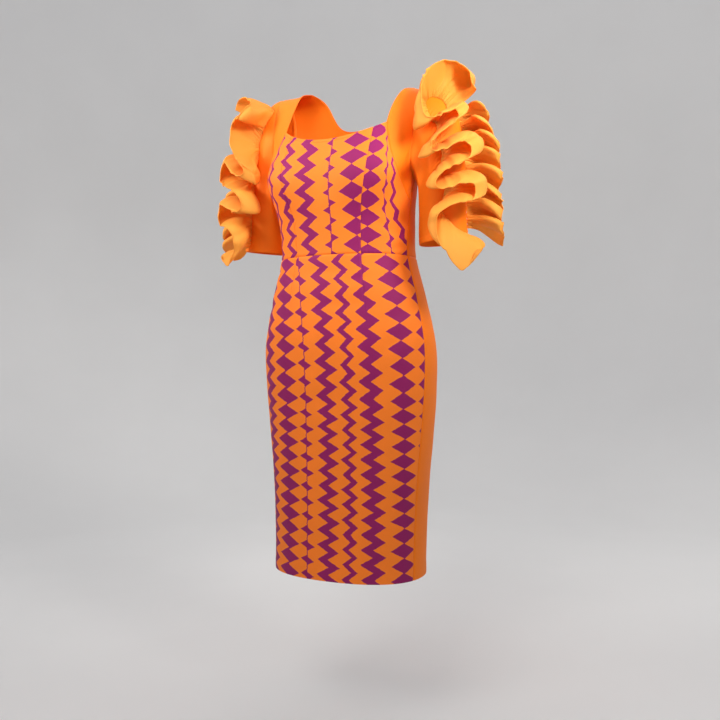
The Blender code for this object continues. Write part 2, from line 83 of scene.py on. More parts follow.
# The wearer's right shoulder hangs higher, and nearer the neck, than the left
LIFT_HEIGHTS = (-0.15, -0.01)
NECK_LIFT = 0.018
NECK_SHIFT = 0.024
NECK_SPAN = (0.03, 0.13)
TIP_LIFT = 0.020
TIP_SPAN = (0.13, 0.2)

# Waves of a ruffle: down, turn at the belly, turn at the sewn edge, reach, fullness, sag
LEFT_FRONT_WAVES = (
    (0.25, 7, 28, 0.066, 0, -0.004), (0.12, -3, 22, 0.068, 0, -0.008), (0.03, 24, 30, 0.066, 0, -0.004),
    (0.03, 66, 45, 0.062, 0, -0.004), (0.1, 90, 54, 0.066, 0, 0.004), (0.19, 84, 60, 0.07, 0.2, 0.018),
    (0.26, 20, 62, 0.068, 0.8, 0.03), (0.35, 94, 64, 0.076, 1.2, 0.026), (0.46, 14, 66, 0.07, 1.2, 0.036),
    (0.57, 88, 66, 0.07, 1.2, 0.032), (0.68, 12, 66, 0.07, 1.2, 0.038), (0.79, 86, 66, 0.068, 1, 0.036),
    (0.9, 50, 64, 0.074, 0.2, 0.102), (0.985, 20, 58, 0.064, 0, 0.04),
)
RIGHT_FRONT_WAVES = (
    (0.24, 18, 18, 0.066, 0, 0.004), (0.16, 20, 20, 0.074, 0, 0.02), (0.07, 40, 34, 0.07, 0, 0.03),
    (0.03, 64, 48, 0.062, 0, 0.02), (0.13, 66, 58, 0.066, 0, 0.012), (0.22, 44, 64, 0.07, 0.6, 0.016),
    (0.31, 118, 70, 0.072, 1.8, 0.016), (0.43, 40, 72, 0.072, 1.9, 0.022), (0.56, 114, 72, 0.07, 1.8, 0.024),
    (0.69, 42, 72, 0.07, 1.6, 0.028), (0.82, 92, 72, 0.064, 1, 0.032), (0.95, 76, 70, 0.062, 0.2, 0.048),
    (0.975, 50, 66, 0.06, 0, 0.024),
)
OUTER_WAVES = 8
OUTER_SPAN = (0.18, 0.94)
LEFT_OUTER_TURN = -16.0
RIGHT_OUTER_TURN = -6.0
OUTER_SWING = 17.0
OUTER_REACH = 0.074
OUTER_FULLNESS = 1.6
OUTER_SAG = 0.030
# share of the width, how much of the wave, how much of its fullness
ACROSS = (
    (0, 0.1, 0), (0.22, 0.42, 0.5), (0.5, 0.9, 0.9), (0.78, 1, 1), (0.95, 0.84, 1), (1, 0.54, 0.9),
)

# How finely seams are followed before the panels are resampled
CENTRE_STEPS = 40
NECK_SIDE_STEPS = 6
YOKE_SEAM_STEPS = 36
NECK_EDGE_STEPS = 24
YOKE_ACROSS = 24
BACK_ARMHOLE_STEPS = 50
SHOULDER_STEPS = 18
BACK_NECK_STEPS = 24
BODICE_ROWS = 60
SKIRT_ROWS = 100

# Where samples lie beside a seam or an edge, and how far apart elsewhere
BESIDE_SEAM = np.array([0.0, 0.5, 1.1, 1.9, 3.0, 4.5, 6.0, 6.8, 7.6, 9.0]) / 1000
KNIT_SPACING = 0.0042
SLEEVE_ROWS = 130
SLEEVE_COLUMNS = 120


# Figure

def through(rows, at):
    """Values of a table at fractional row numbers, on a smooth curve through its rows."""
    rows = np.asarray(rows, float)
    at = np.clip(np.asarray(at, float), 0, len(rows) - 1)
    low = np.minimum(at.astype(int), len(rows) - 2)
    t = (at - low)[..., None]
    padded = np.vstack([2 * rows[0] - rows[1], rows, 2 * rows[-1] - rows[-2]])
    before, start, end, after = (padded[low + k] for k in range(4))
    return start + t * (
        (end - before) / 2
        + t * (before - 2.5 * start + 2 * end - after / 2 + t * (1.5 * (start - end) + (after - before) / 2))
    )


def signed_power(value, power):
    return np.sign(value) * np.abs(value) ** power


def unit(vectors):
    return vectors / np.linalg.norm(vectors, axis=-1, keepdims=True)


def lengths(points, axis):
    """Distance along each line of a grid of points from its first point."""
    step = np.linalg.norm(np.diff(points, axis=axis), axis=-1)
    return np.concatenate([np.zeros_like(np.take(step, [0], axis)), np.cumsum(step, axis)], axis)


def read_off(at, marks, rows):
    return np.stack([np.interp(at, marks, column) for column in np.transpose(rows)], -1)


def figure(spots):
    """Points of the trunk at spots of (angle from the centre front, ring number)."""
    angle, ring = spots[..., 0], spots[..., 1]
    height, half_width, front, back, centre, follow = np.moveaxis(through(RINGS, ring), -1, 0)
    turn = np.radians(angle)
    x = half_width * signed_power(np.sin(turn), 2 / ROUNDNESS)
    ahead = signed_power(np.cos(turn), 2 / ROUNDNESS)
    y = centre - np.where(ahead > 0, front, back) * ahead
    z = height - follow * SHOULDER_SLOPE * (np.abs(x) - SHOULDER_TOP[0])
    rise = z - CUP["height"]
    tall = np.where(rise > 0, CUP["above"], CUP["below"])
    aside = (np.abs(np.mod(angle + 180, 360) - 180) - CUP["angle"]) / CUP["spread"]
    push = CUP["depth"] * np.exp(-(aside**2 + (rise / tall) ** 2) / 2)
    away = np.hypot(x, y) + 1e-9
    return np.stack([x * (1 + push / away), y * (1 + push / away), z], -1)


def figure_normal(spots):
    """Outward unit normal of the trunk, and of both sides of the ridge of the shoulders together."""
    angle, ring = spots[..., 0], spots[..., 1]
    low = np.stack([angle, np.minimum(ring, len(RINGS) - 1.02)], -1)
    across, along = (figure(low + step) - figure(low - step) for step in ([0.5, 0], [0, 0.01]))
    normal = np.cross(across, along)
    side = np.sign(np.sin(np.radians(angle)))
    top = np.stack([SHOULDER_SLOPE * side, 0 * side, 1 + 0 * side], -1)
    return unit(np.where((ring > len(RINGS) - 1.001)[..., None], top, normal))


RING_SEARCH = np.linspace(0, len(RINGS) - 1, 3000)
RING_TABLE = through(RINGS, RING_SEARCH)


def ring_at(z, x=0.0):
    """The ring number whose surface is at height z, at the distance x from the centre."""
    heights = RING_TABLE[:, 0] - RING_TABLE[:, 5] * SHOULDER_SLOPE * (abs(x) - SHOULDER_TOP[0])
    return float(np.interp(z, heights, RING_SEARCH))


def spot(x, z, back=False):
    """(angle, ring) of the point of the front, or of the back, that is seen at (x, z)."""
    ring = ring_at(z, x)
    half_width = through(RINGS, ring)[1]
    angle = math.degrees(math.asin(min(1.0, abs(x) / half_width) ** (ROUNDNESS / 2)))
    return np.array([180 - angle if back else angle, ring])


def side_spot(z):
    """(angle, ring) of the side seam at height z."""
    heights, angles = zip(*SIDE_SEAM)
    return np.array([np.interp(z, heights, angles), ring_at(z)])


def evenly(points, steps):
    """steps + 1 points, evenly spaced along the smooth curve through the given (angle, ring) points."""
    dense = through(points, np.linspace(0, len(points) - 1, 40 * len(points)))
    length = lengths(figure(dense), 0)
    return read_off(np.linspace(0, length[-1], steps + 1), length, dense)


# Seams, as rows of (angle, ring) on the wearer's left

UNDERARM_SPOT = side_spot(UNDERARM)
YOKE_END_SPOT = side_spot(YOKE_END)


def at_waist(angles):
    return np.stack([angles, np.full(len(angles), ring_at(WAIST))], -1)


def waist_front():
    seam = spot(PRINCESS_WAIST, WAIST)[0]
    inner = np.linspace(0, seam, CENTRE_STEPS // 2 + 1)
    outer = np.linspace(seam, side_spot(WAIST)[0], NECK_SIDE_STEPS + YOKE_SEAM_STEPS + 1)[1:]
    return at_waist(np.concatenate([inner, outer]))


def top_front():
    to_seam = np.linspace(0, PRINCESS_TOP, CENTRE_STEPS // 2 + 1)
    to_corner = np.linspace(PRINCESS_TOP, NECK_CORNER[0], NECK_SIDE_STEPS + 1)[1:]
    at = np.concatenate([to_seam, to_corner])
    heights = NECK_DIP[1] + (NECK_CORNER[1] - NECK_DIP[1]) * (at / NECK_CORNER[0]) ** 2
    return np.vstack([[spot(x, z) for x, z in zip(at, heights)], yoke_seam()[1:]])


def yoke_seam():
    return evenly([spot(x, z) for x, z in YOKE_SEAM] + [YOKE_END_SPOT], YOKE_SEAM_STEPS)


def neck_edge():
    return evenly([spot(*SHOULDER_TOP), spot(*NECK_SIDE), spot(*NECK_CORNER)], NECK_EDGE_STEPS)


def armhole(table, back, steps):
    return evenly([spot(x, z, back) for x, z in table] + [UNDERARM_SPOT], steps)


def back_neck():
    return evenly([spot(x, z, True) for x, z in (SHOULDER_TOP, BACK_NECK_BEND, BACK_NECK)], BACK_NECK_STEPS)


def shoulder_seam():
    at = np.linspace(SHOULDER_TIP[0], SHOULDER_TOP[0], SHOULDER_STEPS + 1)
    return np.array([spot(x, -SHOULDER_SLOPE * (x - SHOULDER_TOP[0]), True) for x in at])


def mirrored(columns):
    """A row of (angle, ring) that starts at the centre front, with its other half before it."""
    return np.vstack([columns[:0:-1] * [-1, 1], columns])


# Panels, as grids of (angle, ring)

def between(lower, upper, rows):
    share = np.linspace(0, 1, rows + 1)[:, None, None]
    return lower[None] * (1 - share) + upper[None] * share


def skirt_spots(lower_angles, upper_angles):
    heights = np.linspace(HEM, WAIST, SKIRT_ROWS + 1)
    rings = np.array([ring_at(z) for z in heights])
    sides = np.array([side_spot(z)[0] for z in heights])
    low, high = side_spot(HEM)[0], side_spot(WAIST)[0]
    share = ((sides - low) / (high - low))[:, None]
    angles = lower_angles * (1 - share) + upper_angles * share
    return np.stack([angles, np.broadcast_to(rings[:, None], angles.shape)], -1)


def skirt_front_spots():
    upper = mirrored(waist_front())[:, 0]
    return skirt_spots(upper * side_spot(HEM)[0] / side_spot(WAIST)[0], upper)


def back_waist_angles():
    side = side_spot(WAIST)[0]
    return np.linspace(side, 360 - side, 2 * (BACK_ARMHOLE_STEPS + SHOULDER_STEPS + BACK_NECK_STEPS) + 1)


def skirt_back_spots():
    upper = back_waist_angles()
    side = side_spot(HEM)[0]
    return skirt_spots(np.interp(upper, [upper[0], upper[-1]], [side, 360 - side]), upper)


def bodice_centre_spots():
    half = CENTRE_STEPS // 2 + 1
    return between(mirrored(waist_front()[:half]), mirrored(top_front()[:half]), BODICE_ROWS)


def bodice_side_spots():
    start = CENTRE_STEPS // 2
    return between(waist_front()[start:], top_front()[start:], BODICE_ROWS)


def side_column(rows_above):
    lower = between(waist_front()[-1], YOKE_END_SPOT, BODICE_ROWS)[:, 0]
    return np.vstack([lower, between(YOKE_END_SPOT, UNDERARM_SPOT, rows_above)[1:, 0]])


def bodice_back_spots():
    arm = armhole(BACK_ARMHOLE, True, BACK_ARMHOLE_STEPS)[::-1]
    left = np.vstack([arm, shoulder_seam()[1:], back_neck()[1:]])
    top = np.vstack([left, (left[-2::-1] * [-1, 1]) + [360, 0]])
    rows_above = BODICE_ROWS // 3
    grid = between(at_waist(back_waist_angles()), top, BODICE_ROWS + rows_above)
    seam = side_column(rows_above)
    reach = np.abs(np.linspace(-1, 1, grid.shape[1]))[None, :, None] ** 3
    half = grid.shape[1] // 2
    left_gap = (seam - grid[:, 0])[:, None, :]
    right_gap = (seam * [-1, 1] + [360, 0] - grid[:, -1])[:, None, :]
    grid[:, :half] += left_gap * reach[:, :half]
    grid[:, half:] += right_gap * reach[:, half:]
    return grid


def yoke_spots():
    """Rows run from the side seam under the arm up to the shoulder."""
    inner = np.vstack([neck_edge(), yoke_seam()[1:]])
    outer = armhole(FRONT_ARMHOLE, False, NECK_EDGE_STEPS + YOKE_SEAM_STEPS)
    return between(inner, outer, YOKE_ACROSS).transpose(1, 0, 2)[::-1]


# Sleeve

ARMHOLE_STEPS = 400
ARMHOLE = np.vstack([
    armhole(BACK_ARMHOLE, True, ARMHOLE_STEPS)[::-1], armhole(FRONT_ARMHOLE, False, ARMHOLE_STEPS)[1:]
])
ARMHOLE_NORMAL = figure_normal(ARMHOLE)
ARMHOLE_LOOP = figure(ARMHOLE) + WALL * ARMHOLE_NORMAL
ARMHOLE_ANGLES = np.linspace(-180, 180, len(ARMHOLE_LOOP))


def sleeve(turn, down):
    """A point of the left sleeve: turn in degrees from its outer line towards its front, down from 0 at the
    armhole to 1 at the cuff."""
    turn, down = np.broadcast_arrays(np.asarray(turn, float), np.asarray(down, float))
    wrapped = np.mod(turn + 180, 360) - 180
    start = read_off(wrapped, ARMHOLE_ANGLES, ARMHOLE_LOOP)
    radians = np.radians(turn)[..., None]
    axis = unit(np.array(ARM_AXIS))
    outward = unit(np.array([-axis[2], 0.0, axis[0]]))
    forward = np.cross(axis, outward)
    end = np.array(CUFF_CENTRE) + CUFF_RADIUS[0] * np.cos(radians) * outward
    end = end + CUFF_RADIUS[1] * np.sin(radians) * forward
    inner = (1 - np.cos(radians)) / 2
    dip = np.radians(CAP_DIP[0] + (CAP_DIP[1] - CAP_DIP[0]) * inner)
    leave = np.concatenate([np.cos(dip), 0 * dip, -np.sin(dip)], -1)
    above = start + leave * (CAP_REACH[0] + (CAP_REACH[1] - CAP_REACH[0]) * inner)
    below = end - axis * (CUFF_REACH[0] + (CUFF_REACH[1] - CUFF_REACH[0]) * inner)
    t = down[..., None]
    return (1 - t) ** 3 * start + 3 * t * (1 - t) ** 2 * above + 3 * t**2 * (1 - t) * below + t**3 * end


def sleeve_normal(turn, down):
    across = sleeve(turn + 4.0, down) - sleeve(turn - 4.0, down)
    along = sleeve(turn, down + 0.02) - sleeve(turn, np.maximum(down - 0.02, 0.0))
    return unit(np.cross(across, along))


def ramp(value, start, end):
    """0 before start, 1 after end, and a smooth climb between them."""
    share = np.clip((value - start) / (end - start), 0, 1)
    return share**2 * (3 - 2 * share)


def lifted(points):
    """Points as they hang: the cloth of the wearer's right shoulder sits higher and nearer the neck."""
    outward, z = -points[..., 0], points[..., 2]
    high = ramp(z, *LIFT_HEIGHTS)
    moved = points.copy()
    moved[..., 2] += high * (NECK_LIFT * ramp(outward, *NECK_SPAN) + TIP_LIFT * ramp(outward, *TIP_SPAN))
    moved[..., 0] += high * NECK_SHIFT * ramp(outward, *NECK_SPAN) * (1 - ramp(outward, *TIP_SPAN))
    return moved


# Grids

def resampled(grid, knots):
    """Samples each row of a grid of (angle, ring) again: closely beside the columns in knots, evenly elsewhere."""
    along = lengths(figure(grid), 1)
    marks = [np.zeros((len(grid), 1))]
    for start, end in zip(knots, knots[1:]):
        low = along[:, [start]]
        span = along[:, [end]] - low
        beside = BESIDE_SEAM[None] * np.minimum(1, 0.4 * span / BESIDE_SEAM[-1])
        count = max(3, int(np.median(span) / KNIT_SPACING))
        inner = np.linspace(0, 1, count + 1)[None, 1:-1] * (span - 2 * beside[:, -1:]) + beside[:, -1:]
        marks.append(low + np.hstack([beside[:, 1:], inner, (span - beside)[:, ::-1]]))
    return np.array([read_off(mark, line, row) for mark, line, row in zip(np.hstack(marks), along, grid)])


def fine(grid, across=(0, -1), up=(0, -1)):
    """A panel sampled finely both ways. across and up are the columns and rows that need close samples."""
    grid = resampled(grid, across)
    return resampled(grid.transpose(1, 0, 2), up).transpose(1, 0, 2)


def edge_distances(points):
    """Distance of each point from the four edges of its grid: s first row, t last row, e first column, w last."""
    up, across = lengths(points, 0), lengths(points, 1)
    return {"s": up, "t": up[-1:] - up, "e": across, "w": across[:, -1:] - across}


# Creases, as rows of (angle, height, tilt, length, width, depth): tilt in degrees from level, rising to the
# wearer's left, and the sizes in millimetres
TRUNK_CREASES = (
    (0, -0.386, 0, 80, 13, -1.3), (24, -0.402, 9, 60, 9, -1), (-27, -0.394, -11, 62, 10, -1.1),
    (68, -0.337, 14, 46, 7, -1.5), (75, -0.319, 8, 40, 6, 0.9), (-69, -0.333, -15, 46, 7, -1.5),
    (-73, -0.306, -8, 42, 7, -1.2), (66, -0.373, -15, 52, 8, -1.4), (-64, -0.377, 15, 52, 8, -1.4),
    (58, -0.468, 24, 74, 12, -1.5), (-61, -0.455, -27, 76, 12, -1.6), (44, -0.531, 34, 92, 15, -1.2),
    (-40, -0.52, -30, 92, 16, -1.3), (12, -0.452, 3, 88, 15, -1.3), (-8, -0.64, 4, 120, 26, -1.4),
    (50, -0.3, -22, 60, 9, -0.9), (-46, -0.296, 20, 60, 9, -0.9), (30, -0.75, 70, 150, 26, -1.4),
    (-26, -0.82, -72, 160, 28, -1.4), (78, -0.184, 52, 42, 7, -1.6), (70, -0.163, 62, 46, 6, -1.3),
    (-78, -0.186, -50, 44, 7, -1.6), (-71, -0.16, -60, 46, 6, -1.2), (84, -0.225, 20, 34, 6, -1.2),
    (-84, -0.228, -22, 36, 6, -1.2),
    (180, -0.333, 0, 110, 10, -2.4), (171, -0.362, 4, 92, 9, -2), (188, -0.304, -5, 92, 10, -1.8),
    (181, -0.391, 1, 100, 12, -1.7), (143, -0.345, -13, 62, 8, -1.8), (219, -0.351, 12, 62, 8, -1.8),
    (150, -0.318, -9, 60, 8, -1.4), (212, -0.322, 10, 64, 8, -1.4), (161, -0.7, -12, 84, 12, -2),
    (199, -0.694, 11, 86, 12, -2), (182, -0.726, 0, 64, 11, -1.5), (180, -0.88, 2, 120, 22, -1.6),
    (128, -0.47, 26, 80, 12, -1.5), (233, -0.462, -28, 80, 12, -1.5), (104, -0.182, -52, 46, 7, -1.7),
    (256, -0.18, 52, 46, 7, -1.7), (112, -0.214, -34, 48, 8, -1.4), (248, -0.216, 33, 48, 8, -1.4),
    (150, -0.12, 48, 60, 9, -1.2), (210, -0.124, -46, 60, 9, -1.2), (180, -0.23, 90, 90, 14, -1.2),
)
# The same for the sleeve: two creases above the armhole, whose ends reach it. Their heights are shares of its length
SLEEVE_CREASES = ((112, 0.1, 62, 52, 7, -1.6), (-112, 0.12, -60, 52, 7, -1.6))
CREASE_STRENGTH = 1.9
# How much the cloth rises beside a crease, and how far out
CREASE_BANK = 0.45
CREASE_BANK_WIDTH = 1.9
FOLD_RADIUS = 0.13
SLEEVE_RADIUS = 0.052
SLEEVE_LENGTH = 0.32
ALLOWANCE = 0.0035
ALLOWANCE_DEPTH = 0.0022
# The cloth's gentle waviness
UNEVEN_DEPTH = 0.00012
UNEVEN_WAVES = ((61, 37, 0.6), (-43, 71, 2.1), (97, -29, 4.0))
# The groove of a seam as (depth, width), and the pucker beside it
SEAM = (0.0014, 0.0020)
ARMHOLE_SEAM = (0.0012, 0.0026)
PUCKER_DEPTH = 0.00022
PUCKER_REACH = 0.006
PUCKER_LENGTH = 0.0085
# Turned edges: their widths and rise, and (depth, width) of the stitches and the rim
EDGE_TURNED = 0.0068
CUFF_TURNED = 0.012
HEM_TURNED = 0.022
EDGE_RISE = 0.00018
STITCH = (0.0004, 0.0007)
RIM = (0.0005, 0.0008)
HEM_RIM = (0.0003, 0.001)
HEM_SOFTNESS = 0.0024


def wave(along, length, start=0.0):
    return np.sin(2 * math.pi * along / length + start)


def hump(off, width):
    """1 where off is 0, and next to nothing two widths away."""
    return np.exp(-((off / width) ** 2))


def crease_depth(table, turn, rise, radius, scale):
    """How far creases push the cloth out, in metres."""
    depth = np.zeros(np.broadcast(turn, rise).shape)
    for angle, height, tilt, length, width, deep in table:
        aside = np.radians(np.mod(turn - angle + 180, 360) - 180) * radius
        up = (rise - height) * scale
        lean = math.radians(tilt)
        along = (aside * math.cos(lean) + up * math.sin(lean)) / (length / 2000)
        off = (up * math.cos(lean) - aside * math.sin(lean)) / (width / 1000)
        fold = np.exp(-(along**2) - off**2)
        bank = CREASE_BANK * np.exp(-(along**2) - (off / CREASE_BANK_WIDTH) ** 2)
        depth += CREASE_STRENGTH * deep / 1000 * (fold - bank)
    return depth


def unevenness(a, b):
    return UNEVEN_DEPTH * sum(np.sin(across * a + up * b + start) for across, up, start in UNEVEN_WAVES)


def pressed_seam(distance, along, seed, depth=SEAM[0], width=SEAM[1]):
    """The groove of a plain seam and the slight pucker beside it."""
    pucker = PUCKER_DEPTH * np.exp(-distance / PUCKER_REACH)
    return -depth * hump(distance, width) + pucker * wave(along, PUCKER_LENGTH, 3 * np.sin(31 * along + seed))


def turned_edge(distance, turned=EDGE_TURNED):
    """A turned edge: twice the cloth up to the line of stitches, which sinks a little."""
    fold = EDGE_RISE * (1 - np.tanh((distance - turned) / RIM[1]))
    return fold - STITCH[0] * hump(distance - turned, STITCH[1]) - RIM[0] * hump(distance, RIM[1])


def edge_or_seam(finished, distance, along, seed):
    """An edge of a panel that is turned where finished is 1, and sewn on where it is 0."""
    return finished * turned_edge(distance) + (1 - finished) * pressed_seam(distance, along, seed)


# Objects

def placed(name, data):
    made = bpy.data.objects.new(name, data)
    bpy.context.scene.collection.objects.link(made)
    return made


def quads(number):
    return np.stack([number[:-1, :-1], number[:-1, 1:], number[1:, 1:], number[1:, :-1]], -1).reshape(-1, 4)


def cloth_piece(name, points, layers, material, wall, offset=-1.0, closed=False):
    """A piece of cloth through a grid of points, whose layers give its UV maps."""
    rows, columns = points.shape[:2]
    number = np.arange(rows * columns).reshape(rows, columns)
    if closed:
        number = np.hstack([number, number[:, :1]])
        layers = {
            key: np.concatenate([value, value[:, :1] + [value[:, -1:, 0].max() + 0.002 - value[0, 0, 0], 0]], 1)
            for key, value in layers.items()
        }
    place = np.arange(number.size).reshape(number.shape)
    mesh = bpy.data.meshes.new(name)
    mesh.from_pydata(points.reshape(-1, 3).tolist(), [], quads(number).tolist())
    for key, value in layers.items():
        layer = mesh.uv_layers.new(name=key)
        layer.data.foreach_set("uv", value.reshape(-1, 2)[quads(place).ravel()].astype(np.float32).ravel())
    mesh.shade_smooth()
    mesh.materials.append(material)
    piece = placed(name, mesh)
    solid = piece.modifiers.new("cloth", "SOLIDIFY")
    solid.thickness = wall
    solid.offset = offset
    return piece


def declared(piece, points, node, closed=False, rectangle=False):
    """Puts a piece of cloth under the root body and hides its CAD node. The lengths along its grid are worked out but
    not used.
    """
    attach(piece, "root")
    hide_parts(node)
    along, across = np.diff(points, axis=0), np.diff(points, axis=1)
    if closed:
        across = np.concatenate([across, points[:, :1] - points[:, -1:]], 1)
        along = np.concatenate([along, along[:, :1]], 1)
    if rectangle:
        return


def knit_piece(name, node, points, cloth, material, rests_on, figured=None, closed=False):
    """A panel or sleeve of knit. figured is where the print lies, on a printed one."""
    layers = {"Cloth": np.stack(cloth, -1)}
    if figured:
        layers["Print"] = np.stack(figured, -1)
    piece = cloth_piece(name, points, layers, material, KNIT_WALL, closed=closed)
    declared(piece, points, node, closed)


def on_the_right(points):
    """A grid of points moved to the wearer's right, with its faces still outward."""
    return lifted(points[:, ::-1] * [-1, 1, 1])


# Materials

def linear(red, green, blue):
    """Scene colour of an sRGB colour given from 0 to 255."""
    parts = [value / 255 for value in (red, green, blue)]
    return [part / 12.92 if part <= 0.04045 else ((part + 0.055) / 1.055) ** 2.4 for part in parts] + [1.0]


PRINT_ORANGE = linear(255, 129, 38)
PRINT_PURPLE = linear(144, 29, 94)
PLAIN_ORANGES = linear(252, 128, 20), linear(248, 118, 14)
ORGANZAS = linear(255, 192, 82), linear(255, 184, 74)
ORGANZA_GLOW = linear(255, 184, 76)
ORGANZA_CLEAR = linear(255, 200, 130)
ORGANZA_GLOWS = 0.36
ORGANZA_CLEARS = 0.08
WALE = 0.00095
COURSE = 0.0012
THREAD = 0.0007


class Graph:
    """A material or a node group under construction."""

    def __init__(self, tree):
        self.tree = tree

    def feed(self, socket, value):
        if isinstance(value, bpy.types.NodeSocket):
            self.tree.links.new(value, socket)
        else:
            socket.default_value = value

    def node(self, kind, inputs, **settings):
        made = self.tree.nodes.new("ShaderNode" + kind)
        for key, value in settings.items():
            setattr(made, key, value)
        for key, value in inputs.items():
            self.feed(made.inputs[key], value)
        return made

    def math(self, operation, *values, clamp=False):
        return self.node("Math", dict(enumerate(values)), operation=operation, use_clamp=clamp).outputs[0]

    def blend(self, share, first, second):
        return self.node("Mix", {0: share, 6: first, 7: second}, data_type="RGBA").outputs[2]

    def uv(self, layer):
        made = self.node("UVMap", {}, uv_map=layer)
        split = self.node("SeparateXYZ", {0: made.outputs[0]})
        return split.outputs[0], split.outputs[1], made.outputs[0]

    def noise(self, vector, scale, detail=3.0, roughness=0.5):
        inputs = {"Vector": vector, "Scale": scale, "Detail": detail, "Roughness": roughness}
        return self.node("TexNoise", inputs).outputs[0]

    def spread(self, value, low, high):
        return self.scaled(value, high - low, low)

    def scaled(self, value, by, more, clamp=False):
        return self.math("MULTIPLY_ADD", value, by, more, clamp=clamp)

    def stripes(self, value, length):
        return self.math("SINE", self.math("MULTIPLY", value, 2 * math.pi / length))

    def shown(self, shader):
        self.node("OutputMaterial", {0: shader.outputs[0]})


def new_material(name):
    made = bpy.data.materials.new(name)
    made.use_nodes = True
    made.node_tree.nodes.clear()
    return made, Graph(made.node_tree)


def cut_edge_group():
    """Offset of one edge of a printed column: straight from tip to tip, with each tip a little off its place."""
    tree = bpy.data.node_groups.new("Cut edge", "ShaderNodeTree")
    for name in ("Periods", "Phase", "Swing", "Jitter", "Seed"):
        tree.interface.new_socket(name, in_out="INPUT", socket_type="NodeSocketFloat")
    tree.interface.new_socket("Offset", in_out="OUTPUT", socket_type="NodeSocketFloat")
    g = Graph(tree)
    given = tree.nodes.new("NodeGroupInput")
    periods, phase, swing, jitter, seed = given.outputs[:5]
    at = g.math("MULTIPLY", g.math("ADD", periods, phase), 2.0)
    low = g.math("FLOOR", at)
    tips = []
    for step in (0.0, 1.0):
        number = g.math("ADD", low, step)
        odd = g.math("FLOORED_MODULO", number, 2.0)
        side = g.scaled(odd, -2.0, 1.0)
        where = g.node("CombineXYZ", {0: number, 1: seed})
        random = g.node("TexWhiteNoise", {"Vector": where.outputs[0]}, noise_dimensions="2D").outputs[0]
        off = g.math("MULTIPLY", g.math("SUBTRACT", random, 0.5), jitter)
        tips.append(g.scaled(side, swing, off))
    share = g.math("SUBTRACT", at, low)
    change = g.math("SUBTRACT", tips[1], tips[0])
    result = tree.nodes.new("NodeGroupOutput")
    g.feed(result.inputs[0], g.scaled(change, share, tips[0]))
    return tree


CUT_EDGE = cut_edge_group()

# Columns of the print, as rows of (centre, half width, swing, left phase, right phase, line, territory's end), in
# millimetres and periods. Alike width and swing and alike phases make a row of diamonds, phases half a period
# apart a zigzag. line is half the width of the line that joins small diamonds.
SKIRT_COLUMNS = (
    (-232, 10, 13, 0.5, 0, 0, -206), (-192, -3, 14, 0.05, 0.2, 0.9, -174), (-149, 13, 12, 0.35, 0.85, 0, -121),
    (-91, 15, 15, 0.3, 0.15, 0.5, -58), (-41, 2, 14, 0.24, 0.08, 1, -22), (7, 11.5, 12, 0.32, 0.84, 0, 32),
    (53, 7.5, 9, 0.12, 0.62, 0, 74), (98.5, 13, 11.5, 0.16, 0.66, 0, 127), (161, 13.8, 13.8, 0.03, 0, 0.6, 194),
    (219, 11.5, 11.5, 0, 0.1, 0.9, 250),
)
CENTRE_COLUMNS = (
    (-87, 7.5, 9.5, 0.2, 0.72, 0, -64), (-39, 11.5, 12, 0.18, 0.68, 0, -11), (13, -1, 15, 0.02, 0.42, 1.2, 33),
    (66, 14.5, 14.5, 0, 0, 0.6, 104),
)
LEFT_COLUMNS = (
    (13, 14.5, 14.5, 0.5, 0.5, 0.6, 44), (60, 2, 11, 0, 0.34, 1, 78), (106, 10, 11, 0.45, 0.95, 0, 132),
)
RIGHT_COLUMNS = (
    (-232, 10, 13, 0.2, 0.7, 0, -206), (-182, 13, 13, 0.2, 0.2, 0.6, -158), (-136, 9, 10, 0.25, 0.75, 0, -116),
    (-87, 7.5, 9.5, 0.2, 0.72, 0, -60),
)
# The print reaches this far to each side of its middle. Its columns' values are stored as shares of PRINT_SCALE,
# after HALF_SHIFT has made each half width positive
PRINT_REACH = 0.26
PRINT_SCALE = 0.1
HALF_SHIFT = 0.02
PRINT_JITTER = 0.0042
PRINT_WOBBLE = 0.004
PRINT_SHARPNESS = 1600.0
COLUMN_SEED = 913.0
RIGHT_EDGE_SEED = 57.0
LEAST_LINE = 0.0001


def reach_share(millimetres):
    return (millimetres / 1000 + PRINT_REACH) / (2 * PRINT_REACH)


def shares(centre, half, swing, left, right, line, end):
    """A column's values from 0 to 1."""
    half, swing, line = np.array([half / 1000 + HALF_SHIFT, swing / 1000, line / 1000]) / PRINT_SCALE
    return reach_share(centre), half, swing, left, right, line


def column_ramp(g, place, columns, first):
    """A stepped ramp across the cloth that gives three of each column's values."""
    ramp = g.node("ValToRGB", {0: place})
    band = ramp.color_ramp
    band.interpolation = "CONSTANT"
    starts = [-PRINT_REACH * 1000] + [row[6] for row in columns[:-1]]
    for number, (start, row) in enumerate(zip(starts, columns)):
        where = reach_share(start)
        mark = band.elements[0] if number == 0 else band.elements.new(where)
        mark.position = where
        mark.color = [*shares(*row)[first : first + 3], 1.0]
    band.elements.remove(band.elements[-1])
    split = g.node("SeparateColor", {0: ramp.outputs[0]})
    return split.outputs[0:3]


